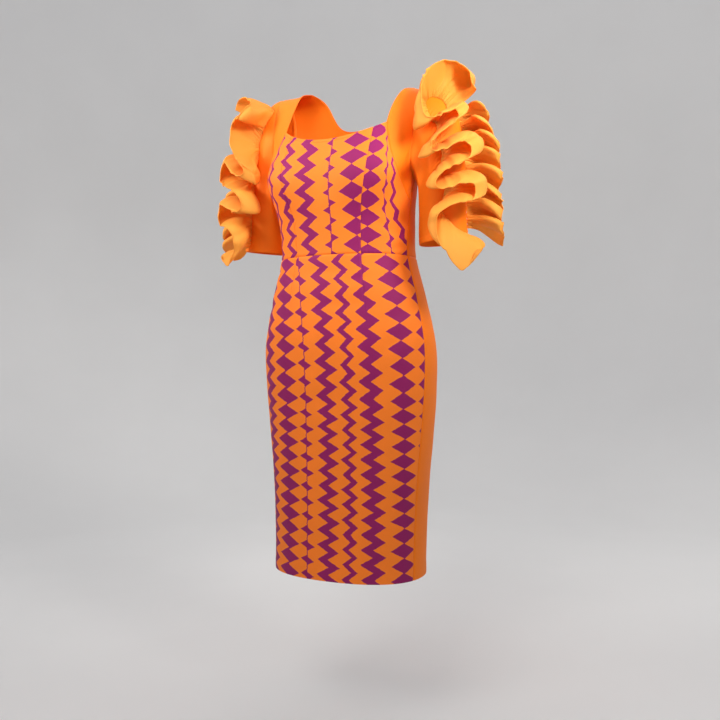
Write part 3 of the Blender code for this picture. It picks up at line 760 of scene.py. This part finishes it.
def print_share(g, columns, seed):
    """1 where the print is purple and 0 where it is orange."""
    u, v, vector = g.uv("Print")
    wobble = g.math("SUBTRACT", g.noise(vector, 9.0, 1.0), 0.5)
    u = g.scaled(wobble, PRINT_WOBBLE, u)
    place = g.scaled(u, 1 / (2 * PRINT_REACH), 0.5)
    centre, half, swing = column_ramp(g, place, columns, 0)
    left, right, line = column_ramp(g, place, columns, 3)
    aside = g.math("SUBTRACT", u, g.scaled(centre, 2 * PRINT_REACH, -PRINT_REACH))
    half = g.scaled(half, PRINT_SCALE, -HALF_SHIFT)
    swing = g.math("MULTIPLY", swing, PRINT_SCALE)
    line = g.math("MULTIPLY", line, PRINT_SCALE)
    has_line = g.math("GREATER_THAN", line, LEAST_LINE)
    floor = g.math("ADD", g.math("ADD", line, has_line), -1.0)
    insides = []
    for side, phase, number in ((-1.0, left, 0.0), (1.0, right, RIGHT_EDGE_SEED)):
        where = g.math("ADD", g.math("MULTIPLY", centre, COLUMN_SEED), number + seed)
        given = {"Periods": v, "Phase": phase, "Swing": swing, "Jitter": PRINT_JITTER, "Seed": where}
        edge = g.node("Group", given, node_tree=CUT_EDGE)
        reach = g.math("MAXIMUM", g.math("ADD", half, edge.outputs[0]), floor)
        insides.append(g.scaled(aside, -side, reach))
    return g.scaled(g.math("MINIMUM", *insides), PRINT_SHARPNESS, 0.5, clamp=True)


def knit(name, colour_of):
    """Smooth stretch knit. colour_of builds its colour in a graph."""
    made, g = new_material(name)
    u, v, vector = g.uv("Cloth")
    colour = colour_of(g)
    cloud = g.noise(vector, 14.0, 4.0, 0.6)
    grain = g.spread(g.noise(vector, 520.0, 2.0), 0.955, 1.045)
    tone = g.math("MULTIPLY", g.spread(cloud, 0.90, 1.07), grain)
    toned = g.node("VectorMath", {0: colour, "Scale": tone}, operation="SCALE").outputs[0]
    weave = g.scaled(g.stripes(u, WALE), 0.5, g.math("MULTIPLY", g.stripes(v, COURSE), 0.35))
    height = g.scaled(g.noise(vector, 900.0, 2.0), 0.8, weave)
    bump = g.node("Bump", {"Height": height, "Strength": 0.18, "Distance": 0.00018})
    g.shown(g.node("BsdfPrincipled", {
        "Base Color": toned,
        "Roughness": g.spread(cloud, 0.56, 0.70),
        "Normal": bump.outputs[0],
        "Specular IOR Level": 0.18,
        "Sheen Weight": 0.03,
        "Sheen Roughness": 0.45,
        "Sheen Tint": (1.0, 0.72, 0.50, 1.0),
    }))
    return made


def printed(name, columns, seed):
    return knit(name, lambda g: g.blend(print_share(g, columns, seed), PRINT_ORANGE, PRINT_PURPLE))


def plain_knit():
    return knit("plain_orange_knit", lambda g: g.blend(g.noise(g.uv("Cloth")[2], 6.0, 2.0), *PLAIN_ORANGES))


def organza():
    """Crisp sheer cloth: it lets some light through and shows a little of what is behind it."""
    made, g = new_material("orange_organza")
    u, v, vector = g.uv("Cloth")
    cloud = g.noise(vector, 16.0, 3.0)
    threads = g.math("ADD", g.stripes(u, THREAD), g.stripes(v, THREAD))
    height = g.scaled(g.noise(vector, 90.0, 3.0, 0.6), 3.0, threads)
    bump = g.node("Bump", {"Height": height, "Strength": 0.25, "Distance": 0.0003})
    surface = g.node("BsdfPrincipled", {
        "Base Color": g.blend(cloud, *ORGANZAS),
        "Roughness": g.spread(cloud, 0.48, 0.62),
        "Normal": bump.outputs[0],
        "Specular IOR Level": 0.25,
        "Sheen Weight": 0.06,
        "Sheen Roughness": 0.4,
        "Sheen Tint": (1.0, 0.88, 0.74, 1.0),
    })
    glow = g.node("BsdfTranslucent", {"Color": ORGANZA_GLOW, "Normal": bump.outputs[0]})
    clear = g.node("BsdfTransparent", {"Color": ORGANZA_CLEAR})
    lit = g.node("MixShader", {0: ORGANZA_GLOWS, 1: surface.outputs[0], 2: glow.outputs[0]})
    g.shown(g.node("MixShader", {0: ORGANZA_CLEARS, 1: lit.outputs[0], 2: clear.outputs[0]}))
    return made


# Trunk

YOKES = ["plain_yoke_left", "plain_yoke_right"]
# The print's periods are a little longer above the thighs, and it leans to the wearer's right above the hips
THIGHS = -0.641
UPPER_PERIOD = 0.0337
LOWER_PERIOD = 0.0293
HIPS = -0.555
LEAN = 0.026
LEAN_HEIGHT = 0.2
BODICE_PERIOD = 0.0335
BODICE_PHASE = -0.166
# A dart's foot, how far up its seam fades in, what the two darts swallow of the print, and the dimple at the foot
DART_FOOT = -0.470
DART_FADE = 0.03
LEFT_DART = 0.015
RIGHT_DART = 0.008
DIMPLE_DEPTH = 0.0010
DIMPLE_DROP = 0.006
DIMPLE_SIZE = (0.008, 0.014)


def skirt_print(u, z, dart_left, dart_right):
    """Where the print lies on the skirt, in metres across and periods down."""
    lean = np.clip((z - HIPS) / LEAN_HEIGHT, 0, 1) ** 1.3
    dart = np.clip((z - DART_FOOT) / (WAIST - DART_FOOT), 0, 1)
    moved = u + LEAN * lean + dart * (LEFT_DART * (u > dart_left) - RIGHT_DART * (u < dart_right))
    return moved, (THIGHS - z) / np.where(z > THIGHS, UPPER_PERIOD, LOWER_PERIOD)


def bodice_print(u, z):
    return u, (BODICE_PHASE - z) / BODICE_PERIOD


def trunk_points(spots, pushes):
    """The outer face of the cloth at spots of the trunk, pushed out by the given depths, its creases and waviness."""
    normal = figure_normal(spots)
    points = figure(spots) + WALL * normal
    depth = pushes + crease_depth(TRUNK_CREASES, spots[..., 0], points[..., 2], FOLD_RADIUS, 1.0)
    depth = depth + unevenness(np.radians(spots[..., 0]) * FOLD_RADIUS, points[..., 2])
    return lifted(points + depth[..., None] * normal)


def sewn(away, seams):
    """Depths of the seams along a panel's edges, named by the letters of edge_distances."""
    depth = np.zeros(away["s"].shape)
    for number, letter in enumerate(seams):
        depth += pressed_seam(away[letter], away["e" if letter in "st" else "s"], number)
    return depth


def cloth_at(spots, column):
    """Distance across the cloth from one of its columns, height, and the distances from its edges."""
    base = figure(spots)
    along = lengths(base, 1)
    return along - along[:, [column]], base[..., 2], edge_distances(base)


def nearest(values, value):
    return int(np.argmin(np.abs(values - value)))


def hem_depth(z):
    distance = z - HEM
    return EDGE_RISE * (1 - np.tanh((distance - HEM_TURNED) / HEM_SOFTNESS)) - HEM_RIM[0] * hump(distance, HEM_RIM[1])


def build_skirt_front():
    grid = skirt_front_spots()
    half = grid.shape[1] // 2
    dart = CENTRE_STEPS // 2
    spots = fine(grid, across=(0, half - dart, half, half + dart, -1))
    u, z, away = cloth_at(spots, nearest(spots[0, :, 0], 0))
    pushes = sewn(away, "ewt")
    columns = [nearest(spots[-1, :, 0], side * grid[-1, half + dart, 0]) for side in (1, -1)]
    lines = [u[:, [column]] for column in columns]
    for column, line in zip(columns, lines):
        off = np.abs(u - line)
        pushes += np.clip((z - DART_FOOT) / DART_FADE, 0, 1) * pressed_seam(off, z, column)
        pushes -= DIMPLE_DEPTH * hump(off, DIMPLE_SIZE[0]) * hump(z - DART_FOOT + DIMPLE_DROP, DIMPLE_SIZE[1])
    points = trunk_points(spots, pushes + hem_depth(z))
    material = printed("zigzag_knit_skirt", SKIRT_COLUMNS, 3.0)
    rests_on = ["printed_bodice_centre", "plain_skirt_back"]
    figured = skirt_print(u, z, *lines)
    knit_piece("printed_skirt_front", "skirt_front", points, (u, z), material, rests_on, figured)


def build_skirt_back(material):
    spots = fine(skirt_back_spots())
    u, z, away = cloth_at(spots, spots.shape[1] // 2)
    points = trunk_points(spots, sewn(away, "ewt") + hem_depth(z))
    knit_piece(
        "plain_skirt_back", "skirt_back", points, (u, z), material, ["plain_bodice_back", "printed_skirt_front"]
    )


def build_bodice_centre():
    spots = fine(bodice_centre_spots())
    u, z, away = cloth_at(spots, spots.shape[1] // 2)
    points = trunk_points(spots, sewn(away, "sew") + turned_edge(away["t"]))
    material = printed("zigzag_knit_centre", CENTRE_COLUMNS, 11.0)
    figured = bodice_print(u, z)
    knit_piece("printed_bodice_centre", "bodice_front_centre", points, (u, z), material, YOKES, figured)


def build_bodice_sides():
    grid = bodice_side_spots()
    spots = fine(grid, across=(0, NECK_SIDE_STEPS, -1))
    u, z, away = cloth_at(spots, 0)
    is_neck = (spots[-1:, :, 0] < grid[-1, NECK_SIDE_STEPS, 0] + 0.01).astype(float)
    pushes = sewn(away, "sew") + edge_or_seam(is_neck, away["t"], away["e"], 5)
    material = printed("zigzag_knit_left", LEFT_COLUMNS, 23.0)
    names = "printed_bodice_left", "bodice_front_left"
    knit_piece(*names, trunk_points(spots, pushes), (u, z), material, YOKES[:1], bodice_print(u, z))
    centre = figure(fine(bodice_centre_spots()))
    seam = np.interp(z[:, 0], centre[:, 0, 2], lengths(centre, 1)[:, -1] / 2)[:, None]
    u, z = -(u + seam)[:, ::-1], z[:, ::-1]
    material = printed("zigzag_knit_right", RIGHT_COLUMNS, 37.0)
    points = trunk_points(spots * [-1, 1], pushes)[:, ::-1]
    names = "printed_bodice_right", "bodice_front_right"
    knit_piece(*names, points, (u, z), material, YOKES[1:], bodice_print(u, z))


def build_bodice_back(material):
    grid = bodice_back_spots()
    arm, neck = BACK_ARMHOLE_STEPS, BACK_ARMHOLE_STEPS + SHOULDER_STEPS
    spots = fine(grid, across=(0, arm, neck, -1 - neck, -1 - arm, -1))
    u, z, away = cloth_at(spots, spots.shape[1] // 2)
    top = spots[-1, :, 0]
    is_neck = ((top > grid[-1, neck, 0] - 1e-6) & (top < grid[-1, -1 - neck, 0] + 1e-6)).astype(float)[None]
    points = trunk_points(spots, sewn(away, "sew") + edge_or_seam(is_neck, away["t"], away["e"], 7))
    knit_piece("plain_bodice_back", "bodice_back", points, (u, z), material, YOKES)


def build_yokes(material):
    grid = yoke_spots()
    spots = fine(grid, up=(0, -1 - NECK_EDGE_STEPS, -1))
    u, z, away = cloth_at(spots, 0)
    is_neck = (z[:, :1] > NECK_CORNER[1] - 0.0005).astype(float)
    pushes = sewn(away, "stw") + edge_or_seam(is_neck, away["e"], away["s"], 9)
    v = away["s"]
    knit_piece(YOKES[0], "yoke_front_left", trunk_points(spots, pushes), (u, v), material, ["plain_bodice_back"])
    points = trunk_points(spots * [-1, 1], pushes)[:, ::-1]
    u, v = u[:, ::-1], v[:, ::-1]
    knit_piece(YOKES[1], "yoke_front_right", points, (u, v), material, ["plain_bodice_back"])


# Sleeves

BESIDE_ENDS = np.array([0.0, 0.002, 0.004, 0.007, 0.011, 0.016])
BETWEEN_ENDS = (0.022, 0.972)
# Puckers where a ruffle is sewn on: how many, how deep, and how many degrees they spread
PUCKERS = 34
PUCKERS_DEPTH = 0.0007
PUCKERS_SPREAD = 12.0


def gather_pull(turn, down, seam_turn, start, fade):
    """Small puckers of the sleeve where a ruffle is sewn to it, fading in from start."""
    off = np.abs(np.mod(turn - seam_turn + 180, 360) - 180)
    pull = PUCKERS_DEPTH * np.sin(2 * math.pi * down * PUCKERS + 2.4 * np.sin(19 * down))
    return pull * hump(off, PUCKERS_SPREAD) * np.clip((down - start) / fade, 0, 1)


def seam_allowance(turns):
    """Where the sleeve's seam allowance ends, under the cloth beside the left armhole."""
    ahead = np.roll(ARMHOLE_LOOP, -1, 0) - np.roll(ARMHOLE_LOOP, 1, 0)
    ahead[0], ahead[-1] = ahead[1], ahead[-2]
    inward = unit(np.cross(ARMHOLE_NORMAL, ahead))
    inward *= np.sign(-inward[len(inward) // 2, 0])
    ends = ARMHOLE_LOOP + ALLOWANCE * inward - ALLOWANCE_DEPTH * ARMHOLE_NORMAL
    return read_off(turns, ARMHOLE_ANGLES, ends)


def build_sleeve(side, waves, outer_turn, material):
    turns = np.linspace(-180, 180, SLEEVE_COLUMNS + 1)[:-1]
    downs = np.concatenate([BESIDE_ENDS, np.linspace(*BETWEEN_ENDS, SLEEVE_ROWS), 1 - BESIDE_ENDS[::-1]])
    turn, down = np.meshgrid(turns, downs)
    base = sleeve(turn, down)
    from_armhole, around = lengths(base, 0), lengths(base, 1)
    depth = crease_depth(SLEEVE_CREASES, turn, -down, SLEEVE_RADIUS, SLEEVE_LENGTH)
    depth += pressed_seam(from_armhole, around, 3, *ARMHOLE_SEAM)
    depth += turned_edge(from_armhole[-1:] - from_armhole, CUFF_TURNED)
    depth += unevenness(np.radians(turn) * SLEEVE_RADIUS, down * SLEEVE_LENGTH)
    seam = np.interp(down, [row[0] for row in waves[4:-2]], [row[2] for row in waves[4:-2]])
    depth += gather_pull(turn, down, seam, 0.05, 0.1)
    depth += gather_pull(turn, down, outer_turn, OUTER_SPAN[0], 0.05)
    outside = base + depth[..., None] * sleeve_normal(turn, down)
    points = np.concatenate([seam_allowance(turns)[None], outside])
    u, v = np.vstack([around[:1], around]), np.vstack([from_armhole[:1] - ALLOWANCE, from_armhole])
    if side == "right":
        points, u, v = on_the_right(points), u[:, ::-1], v[:, ::-1]
    names = f"plain_sleeve_{side}", f"sleeve_{side}"
    knit_piece(*names, points, (u, v), material, ["plain_bodice_back"], closed=True)


# Ruffles

def outer_waves(seam_turn):
    rows = []
    for number in range(2 * OUTER_WAVES + 1):
        share = number / (2 * OUTER_WAVES)
        down = OUTER_SPAN[0] + (OUTER_SPAN[1] - OUTER_SPAN[0]) * share
        uneven = math.sin(2.4 * number + 1.0)
        swing = OUTER_SWING * (1 + 0.2 * uneven) * (1 if number % 2 else -1)
        reach = OUTER_REACH * (1 - 0.12 * (1 - share) ** 4 - 0.06 * share + 0.04 * math.sin(1.7 * number))
        rows.append((down, seam_turn + swing, seam_turn, reach, OUTER_FULLNESS, OUTER_SAG * (1 + 0.3 * uneven)))
    return rows


RUFFLE_ROW = 0.0018
RUFFLE_SHARES = np.array([
    0.0, 0.025, 0.055, 0.09, 0.13, 0.175, 0.225, 0.28, 0.34, 0.40, 0.47, 0.54, 0.61, 0.68, 0.75, 0.82, 0.88, 0.93,
    0.97, 1.0,
])
ROLL_RADIUS = 0.0008
ROLL_TURNS = np.radians([40, 90, 140, 190, 240, 300])
# Ripples as (depth, length): wide ones, small ones between them, and the gathers at the sewn edge
RIPPLE = (0.0032, 0.041)
SMALL_RIPPLE = (0.0016, 0.0215)
GATHERS = (0.0027, 0.0128)


def strip(waves, at, share):
    """Points of the middle of a gathered strip, at fractional rows of its table and shares of its width."""
    row = np.minimum(at.astype(int), len(waves) - 2)
    down, turn, seam_turn, reach, fullness, sag = np.moveaxis(through(waves, at)[:, None, :], -1, 0)
    across = np.array(ACROSS)
    smooth = through(across[:, 1:], np.interp(share, across[:, 0], np.arange(len(across))))
    bend, swell = smooth[None, :, 0], smooth[None, :, 1]
    travel = np.diff([entry[0] for entry in waves])[row][:, None]
    over = np.sin(2 * math.pi * (at - row))[:, None] / (2 * math.pi)
    down = down + travel * fullness * swell * over
    turn = seam_turn + (turn - seam_turn) * bend
    grid = sleeve(turn, down) + sleeve_normal(turn, down) * (reach * share[None])[..., None]
    grid[..., 2] -= sag * share[None] ** 2
    return grid


def grid_normal(points):
    return unit(np.cross(np.gradient(points, axis=0), np.gradient(points, axis=1)))


def ruffle_points(waves, seed):
    """The strip's middle, rippled, at even steps along it."""
    coarse = np.linspace(0, len(waves) - 1, 60 * len(waves))
    along = lengths(strip(waves, coarse, np.array([0.6]))[:, 0], 0)
    s = np.linspace(0, along[-1], int(along[-1] / RUFFLE_ROW))
    points = strip(waves, np.interp(s, along, coarse), RUFFLE_SHARES)
    share = RUFFLE_SHARES[None]
    s = s[:, None]
    warped = s + 0.009 * wave(s, 0.117, seed) + 0.005 * wave(s, 0.071, 2 * seed)
    slant = warped + 0.012 * (share - 0.5) * wave(s, 0.21, seed)
    strength = 0.65 + 0.35 * wave(s, 0.19, 1.7 * seed)
    ripple = RIPPLE[0] * strength * wave(slant, RIPPLE[1]) * share**0.7 * (1 - 0.35 * share)
    ripple += SMALL_RIPPLE[0] * wave(slant, SMALL_RIPPLE[1], 1.1) * share * (1.1 - share)
    gathered = np.clip(share / 0.06, 0.25, 1) * np.exp(-share / 0.20)
    ripple += GATHERS[0] * (0.7 + 0.3 * strength) * wave(warped, GATHERS[1], 0.7) * gathered
    return points + ripple[..., None] * grid_normal(points), s


def rolled(points):
    """A strip with its free edge rolled into a narrow hem."""
    normal = grid_normal(points)[:, -1]
    out = unit(points[:, -1] - points[:, -2])
    hem = [
        points[:, -1] + ROLL_RADIUS * (math.sin(turn) * out + (1 - math.cos(turn)) * normal) for turn in ROLL_TURNS
    ]
    return np.concatenate([points, np.stack(hem, 1)], 1)


def build_ruffle(line, side, waves, seed, material):
    middle, s = ruffle_points(waves, seed)
    points = rolled(middle)
    across = lengths(points, 1)
    cloth = np.stack([np.broadcast_to(s, across.shape), across], -1)
    if side == "right":
        points, cloth = on_the_right(points), cloth[:, ::-1]
    piece = cloth_piece(f"organza_{line}_{side}", points, {"Cloth": cloth}, material, ORGANZA_WALL, offset=0.0)
    declared(piece, points, f"ruffle_{line}_{side}", rectangle=True)


# Stage

CAMERA_TURN = math.radians(25.3)
CAMERA_DISTANCE = 1.70
CAMERA_ASIDE = 0.023
CAMERA_HEIGHT = -0.56
FOCAL_PIXELS = 813
PHOTO_WIDTH = 720
SENSOR_WIDTH = 36
FLOOR = -1.30
INNER_RADII = (0.044, 1.1)
FLAT_RADIUS = 2.2
BEND_RADIUS = 1.9
WALL_HEIGHT = 4.2
BEND_STEPS = 16
ROUND_STEPS = 96
FLOOR_TONES = linear(230, 229, 227), linear(237, 236, 234)
SKY_COLOUR = (0.92, 0.94, 1.0, 1.0)
SKY_STRENGTH = 0.66
LIGHT_COLOUR = (1.0, 0.98, 0.95)
# Lights, as rows of (name, place, target, size, power, spread in degrees)
LIGHTS = (
    ("key", (0, -1.6, 1.2), (0, 0, -0.1), 1.1, 11.5, 150),
    ("left", (-0.95, -0.75, 0.3), (-0.25, 0, -0.09), 0.4, 1.4, 50),
    ("right", (1.05, -0.5, 0.3), (0.28, 0, -0.06), 0.4, 1.9, 50),
    ("back", (0.5, 2, 1.3), (0, 0, -0.1), 1.4, 12, 180),
    ("wall", (0, 0.6, 2.4), (0, 4, 0.9), 2.4, 10, 180),
)


def build_camera():
    data = bpy.data.cameras.new("camera")
    data.sensor_width = SENSOR_WIDTH
    data.lens = FOCAL_PIXELS / PHOTO_WIDTH * SENSOR_WIDTH
    camera = placed("camera", data)
    across = np.array([math.cos(CAMERA_TURN), math.sin(CAMERA_TURN), 0.0])
    away = np.array([math.sin(CAMERA_TURN), -math.cos(CAMERA_TURN), 0.0])
    camera.location = away * CAMERA_DISTANCE + across * CAMERA_ASIDE + [0, 0, CAMERA_HEIGHT]
    camera.rotation_euler = (math.pi / 2, 0, CAMERA_TURN)
    bpy.context.scene.camera = camera


def build_floor():
    """A round floor that curves up into a wall on all sides."""
    bend = np.linspace(0, math.pi / 2, BEND_STEPS + 1)
    reach = np.concatenate([INNER_RADII, FLAT_RADIUS + BEND_RADIUS * np.sin(bend)])
    rise = np.concatenate([[0, 0], BEND_RADIUS * (1 - np.cos(bend))])
    reach, rise = np.append(reach, reach[-1])[:, None], np.append(rise, WALL_HEIGHT)[:, None]
    turn = np.linspace(0, 2 * math.pi, ROUND_STEPS, endpoint=False)
    rings = np.broadcast_arrays(reach * np.cos(turn), reach * np.sin(turn), FLOOR + rise)
    points = np.stack(rings, -1).reshape(-1, 3)
    number = np.arange(len(points)).reshape(-1, ROUND_STEPS)
    corners = quads(np.hstack([number, number[:, :1]]))[:, ::-1].tolist()
    mesh = bpy.data.meshes.new("floor")
    mesh.from_pydata(points.tolist(), [], [number[0].tolist()] + corners)
    mesh.shade_smooth()
    made, g = new_material("pale_floor")
    place = g.node("TexCoord", {}).outputs["Object"]
    tone = g.blend(g.noise(place, 2.0, 3.0), *FLOOR_TONES)
    g.shown(g.node("BsdfPrincipled", {"Base Color": tone, "Roughness": 0.85}))
    mesh.materials.append(made)
    placed("floor", mesh)


def build_light():
    world = bpy.data.worlds.new("studio")
    world.use_nodes = True
    shader = world.node_tree.nodes["Background"]
    shader.inputs[0].default_value = SKY_COLOUR
    shader.inputs[1].default_value = SKY_STRENGTH
    bpy.context.scene.world = world
    for name, place, target, size, power, spread in LIGHTS:
        data = bpy.data.lights.new(name, "AREA")
        data.shape = "SQUARE"
        data.size = size
        data.energy = power
        data.spread = math.radians(spread)
        data.color = LIGHT_COLOUR
        light = placed(name, data)
        light.location = place
        light.visible_camera = False
        light.rotation_euler = (Vector(target) - Vector(place)).to_track_quat("-Z", "Y").to_euler()
    bpy.context.scene.view_settings.view_transform = "Standard"


def main():
    plain = plain_knit()
    build_skirt_front()
    build_skirt_back(plain)
    build_bodice_centre()
    build_bodice_sides()
    build_bodice_back(plain)
    build_yokes(plain)
    build_sleeve("left", LEFT_FRONT_WAVES, LEFT_OUTER_TURN, plain)
    build_sleeve("right", RIGHT_FRONT_WAVES, RIGHT_OUTER_TURN, plain)
    sheer = organza()
    build_ruffle("front", "left", LEFT_FRONT_WAVES, 0.8, sheer)
    build_ruffle("front", "right", RIGHT_FRONT_WAVES, 2.3, sheer)
    build_ruffle("outer", "left", outer_waves(LEFT_OUTER_TURN), 4.1, sheer)
    build_ruffle("outer", "right", outer_waves(RIGHT_OUTER_TURN), 5.6, sheer)
    build_camera()
    build_floor()
    build_light()


main()
